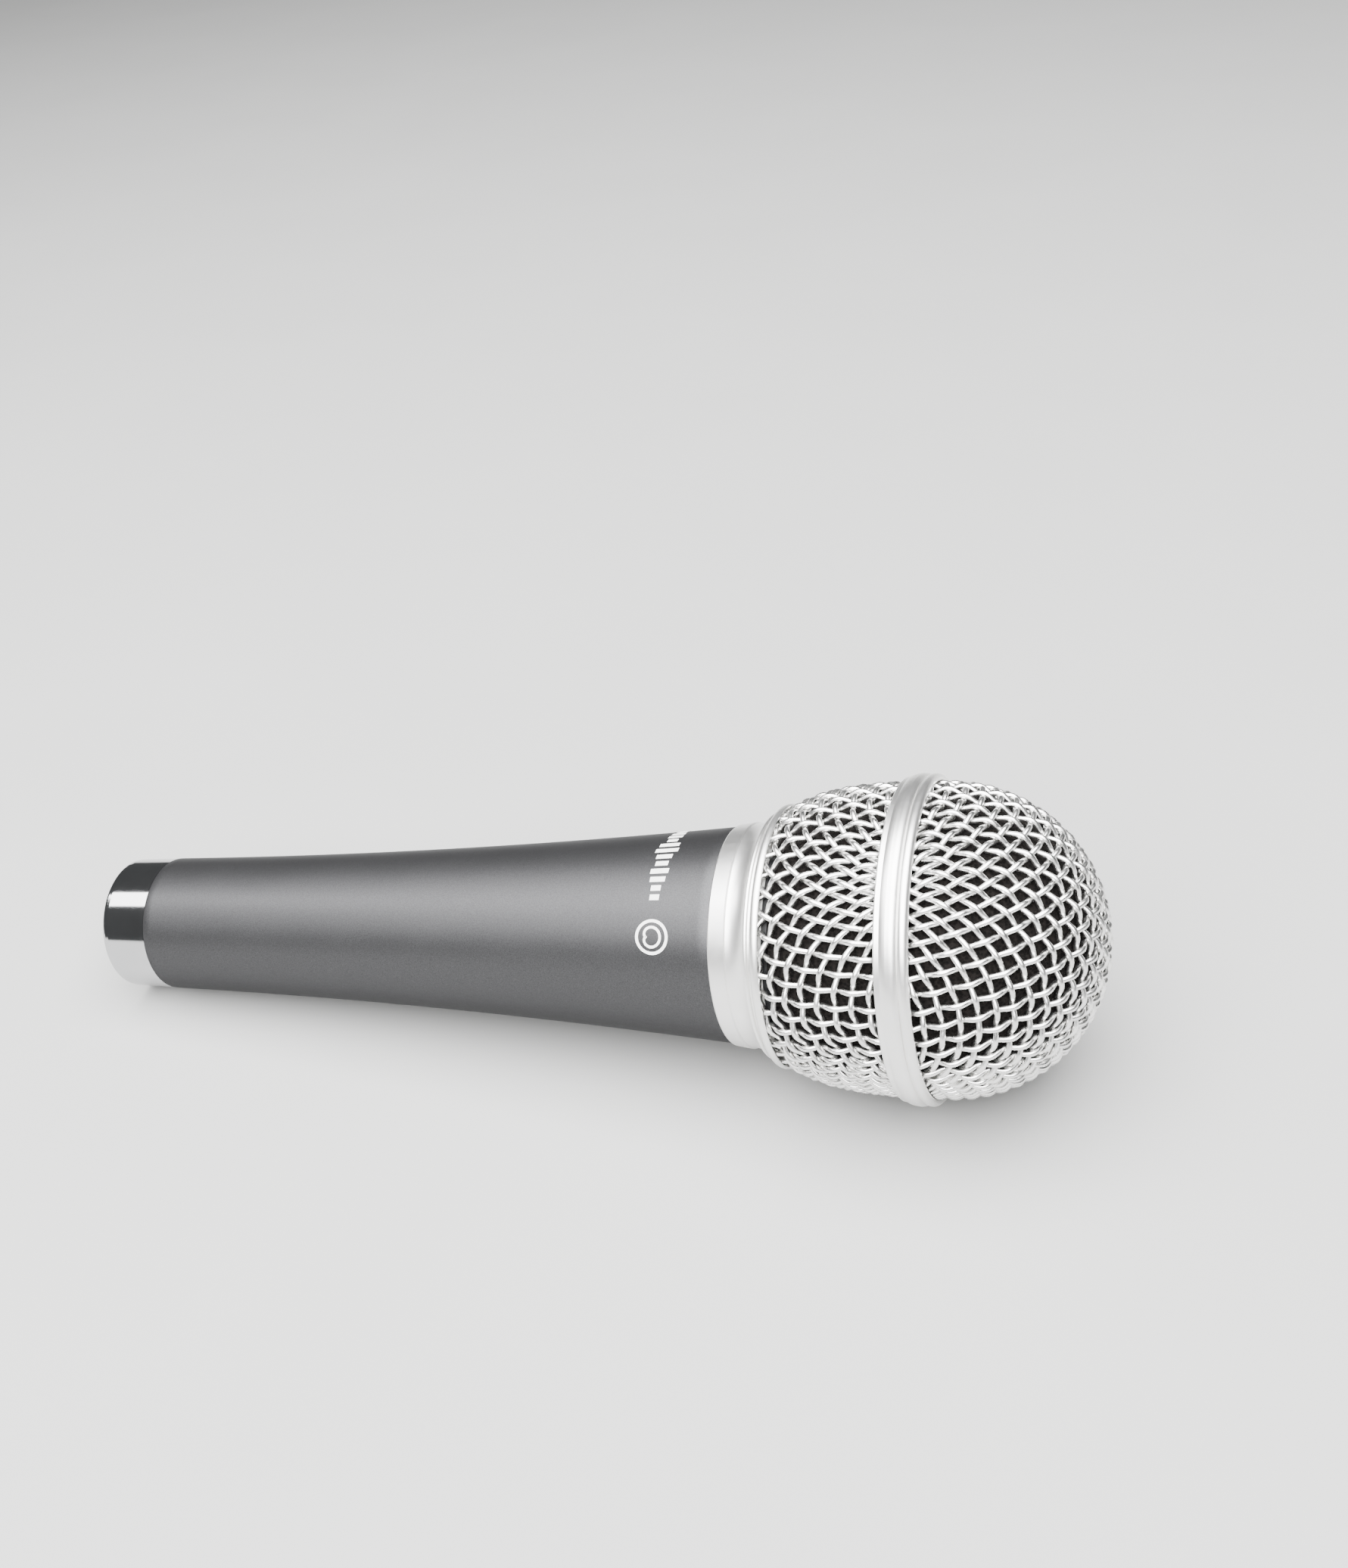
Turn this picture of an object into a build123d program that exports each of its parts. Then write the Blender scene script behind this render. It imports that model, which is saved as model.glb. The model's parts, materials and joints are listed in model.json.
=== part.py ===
"""Handheld dynamic vocal microphone, taken apart into the pieces a repair bench would find.

Every piece is drawn upright about one common axis: Z runs from the tail face (Z = 0) to the tip of the
ball, and X is the side of the key in the cable socket. At the end the whole microphone is laid down the way
it rests on a table, on the band of its ball and on the rim of its tail, with X along the table towards the
ball, Z up and the origin under the middle of its footprint. Millimetres throughout.
"""

import math
import os

from build123d import *

# ---------------------------------------------------------------- driving dimensions
# Ball: woven wire dome and bowl, joined by a band.
BALL_RADIUS = 24.9  # outside of the wire mesh
MESH_THICKNESS = 1.56  # two crossing wires
DOME_CENTRE = 150.1  # centre of the half ball
BAND_CENTRE = 146.4
BAND_RADIUS = 26.0
BAND_HALF_WIDTH = 2.6
LIP_RADIUS = 25.45
RIB_CENTRE = BAND_CENTRE - 0.38
RIB_HALF_WIDTH = 1.27
RIB_RISE = 0.35  # how far the wide rib's crown stands above its shoulders
NECK_RADIUS = 20.8  # mesh at the top of the collar

# Collar of the ball, screwed on the handle.
COLLAR_BOTTOM = 116.0
COLLAR_TOP = 125.0
COLLAR_BORE = 16.6
COLLAR_LIP_RADIUS = 21.25
MESH_GROOVE_FLOOR = 123.9
ORING_POCKET_RADIUS = 17.2
ORING_POCKET_DEPTH = 1.25

# Handle: a cast tube, slimmest at the tail, with a screw spigot at the top.
HANDLE_TAIL = 9.0
HANDLE_TAIL_RADIUS = 11.75
HANDLE_MID_RADIUS = 13.7
HANDLE_TOP_RADIUS = 17.6
SPIGOT_RADIUS = 15.9
SPIGOT_TOP = 122.5
MOUNT_BORE = 14.2
MOUNT_LEDGE = 104.0

# Three-pole cable socket in the tail.
SHELL_RADIUS = 11.5
SHELL_SLEEVE_RADIUS = 9.6
SHELL_TOP = 22.0
SOCKET_RADIUS = 8.0
SOCKET_DEPTH = 14.0
POCKET_RADIUS = 8.5
INSERT_TOP = 20.0
PIN_RADIUS = 1.2
PIN_SHANK_RADIUS = 1.5  # inside the insulator
PIN_CIRCLE = 4.32
PIN_TIP = 2.2
PIN_ANGLES = {1: 62.0, 2: -62.0, 3: 180.0}  # from the key, towards Y
SOLDER_CUP_RADIUS = 0.95
SOLDER_CUP_TOP = 25.0
SOLDER_CUP_FLOOR = 22.0
SCREW_HEIGHT = 15.0

# Laid down, it rests on the rim of the tail and on the band's wide rib. Both have a narrow cone there, as
# steep as the table is to the axis.
REST_TAIL = 1.1  # height of the rim's cone, at the radius of the tail
REST_HALF_WIDTH = 0.3
LEAN = math.atan2(BAND_RADIUS - SHELL_RADIUS, RIB_CENTRE - REST_TAIL)
TAIL_RIM_FILLET = (REST_TAIL - REST_HALF_WIDTH) / (1 - math.sin(LEAN))

# Capsule: moving coil motor in a housing, hung in the handle's mouth.
CHAMBER_RADIUS = 11.9
CHAMBER_BOTTOM = 105.3
CHAMBER_TOP = 126.0
HOUSING_RADIUS = 13.4
HOUSING_BORE = 11.6
HOUSING_TOP = 145.0
MOTOR_SEAT = 133.2
YOKE_TOP = 143.0
MOTOR_SCREW_CIRCLE = 9.75
GAP_INNER_RADIUS = 6.9
GAP_OUTER_RADIUS = 8.2
COIL_INNER_RADIUS = 7.3
COIL_OUTER_RADIUS = 7.8
COIL_TOP = 144.2
FILM = 0.15
CAP_RADIUS = 13.9
CAP_TOP = 151.0

LEAD_RADIUS = 0.65
FOAM_GAP = 0.35
FOAM_THICKNESS = 3.2
FIT = 0.05  # gap between pieces that are pushed together

PIECES = {}


def keep(piece, label):
    """Labels a finished piece and keeps it for the export at the end."""
    piece.part.label = label
    PIECES[label] = piece.part


def on_circle(radius, angle, height):
    """A point at this radius and height, at an angle in degrees from X towards Y."""
    turn = math.radians(angle)
    return (radius * math.cos(turn), radius * math.sin(turn), height)


def bowl_curve(inset):
    """Control points, as (radius, height), of the bowl's side, moved in by inset."""
    return [
        (NECK_RADIUS - inset, COLLAR_TOP),
        (BALL_RADIUS - 1.6 - inset, 129.0),
        (BALL_RADIUS - inset, 134.0),
        (BALL_RADIUS - inset, BAND_CENTRE),
    ]


# ---------------------------------------------------------------- ball
def make_dome():
    """Upper half of the ball: the wire cloth as a shell as thick as its two crossing wires."""
    with BuildPart() as dome:
        with BuildSketch(Plane.XZ):
            with BuildLine():
                outer = CenterArc((0, DOME_CENTRE), BALL_RADIUS, 0, 90)
                inner = CenterArc((0, DOME_CENTRE), BALL_RADIUS - MESH_THICKNESS, 0, 90)
                Line(outer @ 1, inner @ 1)
                Polyline(
                    outer @ 0,
                    (BALL_RADIUS, BAND_CENTRE),
                    (BALL_RADIUS - MESH_THICKNESS, BAND_CENTRE),
                    inner @ 0,
                )
            make_face()
        revolve(axis=Axis.Z)
    keep(dome, "grille_dome")


def make_bowl():
    """Lower half of the ball. Its rim stands in the groove on top of the collar."""
    with BuildPart() as bowl:
        with BuildSketch(Plane.XZ):
            with BuildLine():
                outer = Bezier(*bowl_curve(0))
                inner = Bezier(*bowl_curve(MESH_THICKNESS))
                Line(outer @ 1, inner @ 1)
                Polyline(
                    outer @ 0,
                    (NECK_RADIUS, MESH_GROOVE_FLOOR + 0.1),
                    (NECK_RADIUS - MESH_THICKNESS, MESH_GROOVE_FLOOR + 0.1),
                    inner @ 0,
                )
            make_face()
        revolve(axis=Axis.Z)
    keep(bowl, "grille_bowl")


def resting_cone(radius, height):
    """Both ends of the narrow cone that lies on the table, with its middle at the radius and height."""
    rise = REST_HALF_WIDTH * math.tan(LEAN)
    return (radius - rise, height - REST_HALF_WIDTH), (radius + rise, height + REST_HALF_WIDTH)


def make_band():
    """Band round the widest part of the ball: a low lip, a wide crowned rib and a narrower one beside it."""
    inner = BALL_RADIUS + FIT
    tail_edge = BAND_CENTRE - BAND_HALF_WIDTH
    tip_edge = BAND_CENTRE + BAND_HALF_WIDTH
    rib_low = RIB_CENTRE - RIB_HALF_WIDTH
    rib_high = RIB_CENTRE + RIB_HALF_WIDTH
    shoulder = BAND_RADIUS - RIB_RISE
    cone_low, cone_high = resting_cone(BAND_RADIUS, RIB_CENTRE)
    with BuildPart() as band:
        with BuildSketch(Plane.XZ):
            with BuildLine():
                Polyline(
                    (inner, tail_edge),
                    (LIP_RADIUS - 0.2, tail_edge),
                    (LIP_RADIUS, tail_edge + 0.2),
                    (LIP_RADIUS, rib_low),
                    (shoulder, rib_low),
                )
                TangentArc(cone_low, (shoulder, rib_low), tangent=(-math.sin(LEAN), -math.cos(LEAN)))
                Line(cone_low, cone_high)
                TangentArc(cone_high, (shoulder, rib_high), tangent=(math.sin(LEAN), math.cos(LEAN)))
                Polyline((shoulder, rib_high), (shoulder - 0.15, rib_high + 0.07), (shoulder, rib_high + 0.15))
                ThreePointArc(
                    (shoulder, rib_high + 0.15),
                    (BAND_RADIUS - 0.05, rib_high + 0.85),
                    (shoulder - 0.3, tip_edge),
                )
                Polyline((shoulder - 0.3, tip_edge), (inner, tip_edge), (inner, tail_edge))
            make_face()
        revolve(axis=Axis.Z)
    keep(band, "grille_band")


def make_collar():
    """Collar: a plain band, a cove, a bead and the lip that holds the mesh, bored to screw on the handle."""
    with BuildPart() as collar:
        with BuildSketch(Plane.XZ):
            with BuildLine():
                Polyline(
                    (COLLAR_BORE, COLLAR_BOTTOM + ORING_POCKET_DEPTH),
                    (ORING_POCKET_RADIUS, COLLAR_BOTTOM + ORING_POCKET_DEPTH),
                    (ORING_POCKET_RADIUS, COLLAR_BOTTOM),
                    (17.8, COLLAR_BOTTOM),
                    (17.95, COLLAR_BOTTOM + 0.2),
                    (18.3, 118.7),
                    (18.1, 118.95),
                )
                ThreePointArc((18.1, 118.95), (18.45, 120.9), (19.4, 122.3))
                ThreePointArc((19.4, 122.3), (19.95, 122.62), (19.6, 123.0))
                Polyline((19.6, 123.0), (19.6, 123.5), (20.6, 123.6))
                ThreePointArc((20.6, 123.6), (COLLAR_LIP_RADIUS, 124.3), (21.05, COLLAR_TOP))
                Polyline(
                    (21.05, COLLAR_TOP),
                    (NECK_RADIUS + 0.15, COLLAR_TOP),
                    (NECK_RADIUS + 0.15, MESH_GROOVE_FLOOR),
                    (NECK_RADIUS - MESH_THICKNESS - 0.1, MESH_GROOVE_FLOOR),
                    (NECK_RADIUS - MESH_THICKNESS - 0.1, COLLAR_TOP),
                    (COLLAR_BORE, COLLAR_TOP),
                    (COLLAR_BORE, COLLAR_BOTTOM + ORING_POCKET_DEPTH),
                )
            make_face()
        revolve(axis=Axis.Z)
    keep(collar, "grille_collar")


def make_windscreen():
    """Foam liner inside the ball, and the plastic ring that keeps it there."""
    outer_inset = MESH_THICKNESS + FOAM_GAP
    inner_inset = outer_inset + FOAM_THICKNESS
    foot = COLLAR_TOP + 1.0
    with BuildPart() as foam:
        with BuildSketch(Plane.XZ):
            with BuildLine():
                outer = CenterArc((0, DOME_CENTRE), BALL_RADIUS - outer_inset, 0, 90)
                inner = CenterArc((0, DOME_CENTRE), BALL_RADIUS - inner_inset, 0, 90)
                Line(outer @ 1, inner @ 1)
                outer_side = Bezier(*bowl_curve(outer_inset))
                inner_side = Bezier(*bowl_curve(inner_inset))
                Line(outer @ 0, outer_side @ 1)
                Line(inner @ 0, inner_side @ 1)
                Line(outer_side @ 0, inner_side @ 0)
            make_face()
            with Locations((0, foot)):
                Rectangle(BALL_RADIUS, 10, align=(Align.MIN, Align.MAX), mode=Mode.SUBTRACT)
            with Locations((0, foot)):
                Rectangle(COLLAR_BORE, 10, align=(Align.MIN, Align.MIN), mode=Mode.SUBTRACT)
        revolve(axis=Axis.Z)
    keep(foam, "foam_windscreen")

    with BuildPart() as foam_ring:
        with BuildSketch(Plane.XY.offset(COLLAR_TOP + FIT)):
            Circle(NECK_RADIUS - MESH_THICKNESS - 0.15)
            Circle(COLLAR_BORE, mode=Mode.SUBTRACT)
        extrude(amount=0.85)
    keep(foam_ring, "foam_retaining_ring")


def make_oring():
    """Rubber ring in the foot of the collar, which keeps the ball from working loose."""
    section_radius = (ORING_POCKET_RADIUS - SPIGOT_RADIUS) / 2 - FIT - 0.02
    with BuildPart() as oring:
        with BuildSketch(Plane.XZ):
            with Locations(((ORING_POCKET_RADIUS + SPIGOT_RADIUS) / 2, COLLAR_BOTTOM + section_radius)):
                Circle(section_radius)
        revolve(axis=Axis.Z)
    keep(oring, "collar_oring")


# ---------------------------------------------------------------- handle
def make_handle():
    """Cast handle: a waisted tube with the screw spigot, the capsule's seat and the socket's seat."""
    with BuildPart() as handle:
        with BuildSketch(Plane.XZ):
            with BuildLine():
                side = ThreePointArc(
                    (HANDLE_TAIL_RADIUS, HANDLE_TAIL),
                    (HANDLE_MID_RADIUS, (HANDLE_TAIL + COLLAR_BOTTOM) / 2),
                    (HANDLE_TOP_RADIUS, COLLAR_BOTTOM),
                )
                Polyline(
                    side @ 1,
                    (SPIGOT_RADIUS, COLLAR_BOTTOM),
                    (SPIGOT_RADIUS, SPIGOT_TOP - 0.5),
                    (SPIGOT_RADIUS - 0.5, SPIGOT_TOP),
                    (MOUNT_BORE, SPIGOT_TOP),
                    (MOUNT_BORE, MOUNT_LEDGE),
                    (12.8, MOUNT_LEDGE),
                    (12.8, 92.0),
                    (SHELL_SLEEVE_RADIUS + FIT, SHELL_TOP + FIT),
                    (SHELL_SLEEVE_RADIUS + FIT, HANDLE_TAIL),
                    side @ 0,
                )
            make_face()
        revolve(axis=Axis.Z)
        with Locations(Plane(origin=(0, 0, SCREW_HEIGHT), x_dir=(1, 0, 0), z_dir=(0, -1, 0))):
            Cylinder(1.3, 20, align=(Align.CENTER, Align.CENTER, Align.MIN), mode=Mode.SUBTRACT)
    keep(handle, "handle")


def make_connector():
    """Plated tail ring with the cable socket, its insulator, contacts, earth lug, clip and grub screw."""
    cone_low, cone_high = resting_cone(SHELL_RADIUS, REST_TAIL)
    rim_centre = (cone_low[0] - TAIL_RIM_FILLET * math.cos(LEAN), TAIL_RIM_FILLET)
    with BuildPart() as shell:
        with BuildSketch(Plane.XZ):
            with BuildLine():
                rim = CenterArc(rim_centre, TAIL_RIM_FILLET, -90, 90 - math.degrees(LEAN))
                Polyline(
                    rim @ 1,
                    cone_high,
                    (HANDLE_TAIL_RADIUS - 0.05, HANDLE_TAIL),
                    (SHELL_SLEEVE_RADIUS, HANDLE_TAIL),
                    (SHELL_SLEEVE_RADIUS, SHELL_TOP),
                    (POCKET_RADIUS, SHELL_TOP),
                    (POCKET_RADIUS, SOCKET_DEPTH),
                    (SOCKET_RADIUS, SOCKET_DEPTH),
                    (SOCKET_RADIUS, 0.5),
                    (SOCKET_RADIUS + 0.5, 0),
                    rim @ 0,
                )
            make_face()
        revolve(axis=Axis.Z)
        # Notch that the plug's latch drops into, and the key behind it.
        with Locations((SOCKET_RADIUS - 0.5, 0, 4.75)):
            Box(1.4, 4.2, 3.5, align=(Align.MIN, Align.CENTER, Align.CENTER), mode=Mode.SUBTRACT)
        with Locations((SOCKET_RADIUS - 0.7, 0, SOCKET_DEPTH)):
            Box(1.0, 1.6, 6.0, align=(Align.MIN, Align.CENTER, Align.MAX))
    keep(shell, "connector_shell")

    with BuildPart() as insert:
        with BuildSketch(Plane.XY.offset(SOCKET_DEPTH)):
            Circle(POCKET_RADIUS - FIT)
            for angle in PIN_ANGLES.values():
                with Locations(on_circle(PIN_CIRCLE, angle, 0)[:2]):
                    Circle(PIN_SHANK_RADIUS + 0.02, mode=Mode.SUBTRACT)
        extrude(amount=INSERT_TOP - SOCKET_DEPTH)
    keep(insert, "connector_insert")

    for number, angle in PIN_ANGLES.items():
        with BuildPart() as pin:
            with BuildSketch(Plane.XZ):
                with BuildLine():
                    tip = CenterArc((0, PIN_TIP + PIN_RADIUS), PIN_RADIUS, -90, 90)
                    Polyline(
                        tip @ 1,
                        (PIN_RADIUS, SOCKET_DEPTH),
                        (PIN_SHANK_RADIUS, SOCKET_DEPTH),
                        (PIN_SHANK_RADIUS, INSERT_TOP),
                        (PIN_RADIUS + 0.4, INSERT_TOP),
                        (PIN_RADIUS + 0.4, INSERT_TOP + 0.5),
                        (SOLDER_CUP_RADIUS, INSERT_TOP + 0.5),
                        (SOLDER_CUP_RADIUS, SOLDER_CUP_TOP),
                        (LEAD_RADIUS + 0.1, SOLDER_CUP_TOP),
                        (LEAD_RADIUS + 0.1, SOLDER_CUP_FLOOR),
                        (0, SOLDER_CUP_FLOOR),
                        tip @ 0,
                    )
                make_face()
            revolve(axis=Axis.Z)
        pin.part.position = on_circle(PIN_CIRCLE, angle, 0)
        keep(pin, f"contact_pin_{number}")

    with BuildPart() as clip:
        with BuildSketch(Plane.XY.offset(INSERT_TOP)):
            Circle(POCKET_RADIUS - FIT)
            Circle(7.5, mode=Mode.SUBTRACT)
            with Locations((-POCKET_RADIUS, 0)):
                Rectangle(4, 5, mode=Mode.SUBTRACT)
        extrude(amount=0.8)
    keep(clip, "insert_retaining_clip")

    lug_plane = Plane(origin=(0, 0, INSERT_TOP + 0.85)).rotated((0, 0, PIN_ANGLES[1]))
    with BuildPart() as lug:
        with BuildSketch(lug_plane):
            with Locations((PIN_CIRCLE, 0)):
                Circle(2.0)
                Rectangle(POCKET_RADIUS - PIN_CIRCLE - 0.15, 2.4, align=(Align.MIN, Align.CENTER))
                Circle(SOLDER_CUP_RADIUS + FIT, mode=Mode.SUBTRACT)
        extrude(amount=0.3)
    keep(lug, "earth_lug")

    screw_foot = SHELL_SLEEVE_RADIUS + FIT / 2
    with BuildPart() as screw:
        with BuildSketch(Plane(origin=(0, -screw_foot, SCREW_HEIGHT), x_dir=(1, 0, 0), z_dir=(0, -1, 0))):
            Circle(1.25)
        extrude(amount=1.9)
        with BuildSketch(screw.faces().sort_by(Axis.Y)[0]):
            RegularPolygon(0.65, 6)
        extrude(amount=-1.1, mode=Mode.SUBTRACT)
    keep(screw, "insert_grub_screw")


# ---------------------------------------------------------------- capsule
def make_capsule_mount():
    """Rubber cup that hangs the capsule in the handle's mouth, and the chamber behind the capsule."""
    with BuildPart() as mount:
        with BuildSketch(Plane.XZ):
            with BuildLine():
                Polyline(
                    (8.0, MOUNT_LEDGE),
                    (MOUNT_BORE - 0.1, MOUNT_LEDGE),
                    (MOUNT_BORE - 0.1, SPIGOT_TOP),
                    (15.6, SPIGOT_TOP),
                    (15.6, SPIGOT_TOP + 1.2),
                    (15.0, SPIGOT_TOP + 1.8),
                    (CHAMBER_RADIUS + FIT, SPIGOT_TOP + 1.8),
                    (CHAMBER_RADIUS + FIT, CHAMBER_BOTTOM - 0.02),
                    (8.0, CHAMBER_BOTTOM - 0.02),
                    (8.0, MOUNT_LEDGE),
                )
            make_face()
        revolve(axis=Axis.Z)
    keep(mount, "shock_mount")

    with BuildPart() as chamber:
        with BuildSketch(Plane.XY.offset(CHAMBER_BOTTOM)):
            Circle(CHAMBER_RADIUS)
        extrude(amount=CHAMBER_TOP - CHAMBER_BOTTOM)
        with BuildSketch(Plane.XY.offset(CHAMBER_TOP)):
            Circle(CHAMBER_RADIUS - 1.2)
        extrude(amount=-(CHAMBER_TOP - CHAMBER_BOTTOM - 1.5), mode=Mode.SUBTRACT)
    keep(chamber, "rear_chamber")

    board_bottom = CHAMBER_BOTTOM - 1.4
    with BuildPart() as board:
        with BuildSketch(Plane.XY.offset(board_bottom)):
            Circle(7.9)
        extrude(amount=CHAMBER_BOTTOM - board_bottom)
    keep(board, "terminal_board")

    with BuildPart() as terminals:
        with BuildSketch(Plane.XY.offset(board_bottom)):
            with GridLocations(0, 8.0, 1, 2):
                Circle(0.8)
        extrude(amount=-3.4)
    keep(terminals, "capsule_terminals")


def make_capsule_housing():
    """Capsule housing with its rear ports, the cloth behind them, and the cap and cloth in front."""
    seat_bottom = MOTOR_SEAT - 1.4
    with BuildPart() as housing:
        with BuildSketch(Plane.XZ):
            with BuildLine():
                Polyline(
                    (CHAMBER_RADIUS - 1.2, CHAMBER_TOP),
                    (HOUSING_RADIUS - 0.6, CHAMBER_TOP),
                    (HOUSING_RADIUS, CHAMBER_TOP + 0.6),
                    (HOUSING_RADIUS, HOUSING_TOP),
                    (HOUSING_BORE, HOUSING_TOP),
                    (HOUSING_BORE, MOTOR_SEAT),
                    (8.6, MOTOR_SEAT),
                    (8.6, seat_bottom),
                    (HOUSING_BORE, seat_bottom),
                    (HOUSING_BORE, CHAMBER_TOP + 1.2),
                    (CHAMBER_RADIUS - 1.2, CHAMBER_TOP + 1.2),
                    (CHAMBER_RADIUS - 1.2, CHAMBER_TOP),
                )
            make_face()
        revolve(axis=Axis.Z)
        with BuildSketch(Plane.XY.offset(128.2)):
            with PolarLocations((HOUSING_RADIUS + HOUSING_BORE) / 2, 8):
                Rectangle(4.0, 5.2)
        extrude(amount=2.6, mode=Mode.SUBTRACT)
        with BuildSketch(Plane.XY.offset(seat_bottom)):
            with PolarLocations(MOTOR_SCREW_CIRCLE, 3, start_angle=60):
                Circle(0.85)
        extrude(amount=1.4, mode=Mode.SUBTRACT)
    keep(housing, "capsule_housing")

    with BuildPart() as port_cloth:
        with BuildSketch(Plane.XY.offset(CHAMBER_TOP + 1.3)):
            Circle(HOUSING_BORE - FIT)
            Circle(HOUSING_BORE - FIT - 0.3, mode=Mode.SUBTRACT)
        extrude(amount=4.2)
    keep(port_cloth, "port_cloth")

    with BuildPart() as cap:
        with BuildSketch(Plane.XY.offset(HOUSING_TOP)):
            Circle(CAP_RADIUS)
        extrude(amount=CAP_TOP - HOUSING_TOP)
        fillet(cap.edges().group_by(Axis.Z)[-1], 0.8)
        with BuildSketch(Plane.XY.offset(HOUSING_TOP)):
            Circle(CAP_RADIUS - 1.6)
        extrude(amount=CAP_TOP - HOUSING_TOP - 1.4, mode=Mode.SUBTRACT)
        with BuildSketch(Plane.XY.offset(CAP_TOP)):
            Circle(1.6)
            with PolarLocations(5.0, 6):
                Circle(1.5)
            with PolarLocations(9.4, 12):
                Circle(1.5)
        extrude(amount=-1.4, mode=Mode.SUBTRACT)
    keep(cap, "resonator_cap")

    with BuildPart() as front_cloth:
        with BuildSketch(Plane.XY.offset(CAP_TOP - 1.45)):
            Circle(CAP_RADIUS - 1.6 - FIT)
        extrude(amount=-0.3)
    keep(front_cloth, "front_cloth")


def make_motor():
    """Moving coil motor: steel cup, magnet, pole piece and the screws that hold the cup in its housing."""
    yoke_bottom = MOTOR_SEAT
    yoke_floor = yoke_bottom + 2.3
    with BuildPart() as yoke:
        with BuildSketch(Plane.XY.offset(yoke_bottom)):
            Circle(HOUSING_BORE - FIT)
        extrude(amount=YOKE_TOP - yoke_bottom)
        with BuildSketch(Plane.XY.offset(YOKE_TOP)):
            Circle(GAP_OUTER_RADIUS)
        extrude(amount=-(YOKE_TOP - yoke_floor), mode=Mode.SUBTRACT)
        with BuildSketch(Plane.XY.offset(yoke_bottom)):
            with PolarLocations(MOTOR_SCREW_CIRCLE, 3, start_angle=60):
                Circle(0.85)
        extrude(amount=2.0, mode=Mode.SUBTRACT)
    keep(yoke, "yoke")

    with BuildPart() as screws:
        for angle in (60, 180, 300):
            foot = Plane(on_circle(MOTOR_SCREW_CIRCLE, angle, MOTOR_SEAT - 1.4))
            with BuildSketch(foot):
                Circle(1.3)
            extrude(amount=-0.9)
            with BuildSketch(foot):
                Circle(0.8)
            extrude(amount=3.2)
            with BuildSketch(foot.offset(-0.9)):
                Rectangle(2.0, 0.35)
                Rectangle(0.35, 2.0)
            extrude(amount=0.5, mode=Mode.SUBTRACT)
    keep(screws, "motor_screws")

    magnet_top = 140.2
    with BuildPart() as magnet:
        with BuildSketch(Plane.XY.offset(yoke_floor)):
            Circle(6.4)
        extrude(amount=magnet_top - yoke_floor)
        chamfer(magnet.edges(), 0.2)
    keep(magnet, "magnet")

    with BuildPart() as pole:
        with BuildSketch(Plane.XY.offset(magnet_top)):
            Circle(GAP_INNER_RADIUS)
        extrude(amount=YOKE_TOP - magnet_top)
        chamfer(pole.edges().group_by(Axis.Z)[-1], 0.2)
    keep(pole, "pole_piece")


def make_moving_coil():
    """What sound moves: a domed film with a rolled surround, and the coil glued under its dome."""
    with BuildPart() as coil:
        with BuildSketch(Plane.XY.offset(139.6)):
            Circle(COIL_OUTER_RADIUS)
            Circle(COIL_INNER_RADIUS, mode=Mode.SUBTRACT)
        extrude(amount=COIL_TOP - 139.6)
    keep(coil, "voice_coil")

    rim = HOUSING_BORE - 0.4
    roll = (COIL_OUTER_RADIUS + rim) / 2
    dome_rise = 2.1
    dome_radius = (COIL_OUTER_RADIUS**2 + dome_rise**2) / (2 * dome_rise)
    dome_centre = COIL_TOP + dome_rise - dome_radius
    half_angle = math.degrees(math.asin(COIL_OUTER_RADIUS / dome_radius))
    with BuildPart() as film:
        with BuildSketch(Plane.XZ):
            with BuildLine():
                dome_under = CenterArc((0, dome_centre), dome_radius, 90 - half_angle, half_angle)
                dome_over = CenterArc((0, dome_centre + FILM), dome_radius, 90 - half_angle, half_angle)
                Line(dome_under @ 1, dome_over @ 1)
                roll_under = ThreePointArc(
                    (COIL_OUTER_RADIUS, COIL_TOP), (roll, COIL_TOP + 0.5), (rim, COIL_TOP)
                )
                roll_over = ThreePointArc(
                    (COIL_OUTER_RADIUS, COIL_TOP + FILM),
                    (roll, COIL_TOP + 0.5 + FILM),
                    (rim, COIL_TOP + FILM),
                )
                Line(roll_under @ 1, roll_over @ 1)
            make_face()
        revolve(axis=Axis.Z)
    keep(film, "diaphragm")


# ---------------------------------------------------------------- wiring
def make_leads():
    """Two leads from the socket's contacts up through the handle to the capsule's terminals."""
    terminal_foot = CHAMBER_BOTTOM - 1.4 - 3.4
    routes = {
        "lead_hot": (2, 4.0, [(4.6, -1.4, 45.0), (3.0, 3.2, 62.0), (-1.8, 3.0, 77.0)]),
        "lead_cold": (3, -4.0, [(-5.6, 3.0, 45.0), (-5.6, -1.6, 62.0), (-1.4, -5.2, 77.0)]),
    }
    for label, (pin, terminal_y, bends) in routes.items():
        start = on_circle(PIN_CIRCLE, PIN_ANGLES[pin], SOLDER_CUP_FLOOR)
        above_cup = on_circle(PIN_CIRCLE, PIN_ANGLES[pin], SOLDER_CUP_TOP + 4)
        end = (0, terminal_y, terminal_foot)
        points = [Vector(*p) for p in [start, above_cup, *bends, (0, terminal_y, 90.5), end]]
        runs = [b - a for a, b in zip(points, points[1:])]
        radii = []
        for one, two in zip(runs, runs[1:]):
            half_turn = math.radians(one.get_angle(two)) / 2
            radii.append(0.45 * min(one.length, two.length) / math.tan(half_turn))
        with BuildPart() as lead:
            with BuildLine() as route:
                FilletPolyline(*points, radius=radii)
            path = route.wire()
            with BuildSketch(Plane(origin=path @ 0, z_dir=path % 0)):
                Circle(LEAD_RADIUS)
            sweep(path=path)
        section = math.pi * LEAD_RADIUS**2
        print(label, "radii", [round(r, 1) for r in radii], "length", round(path.length, 1))
        share = lead.part.volume / (section * path.length)
        print(label, "volume over section times length", round(share, 4))
        keep(lead, label)


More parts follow.
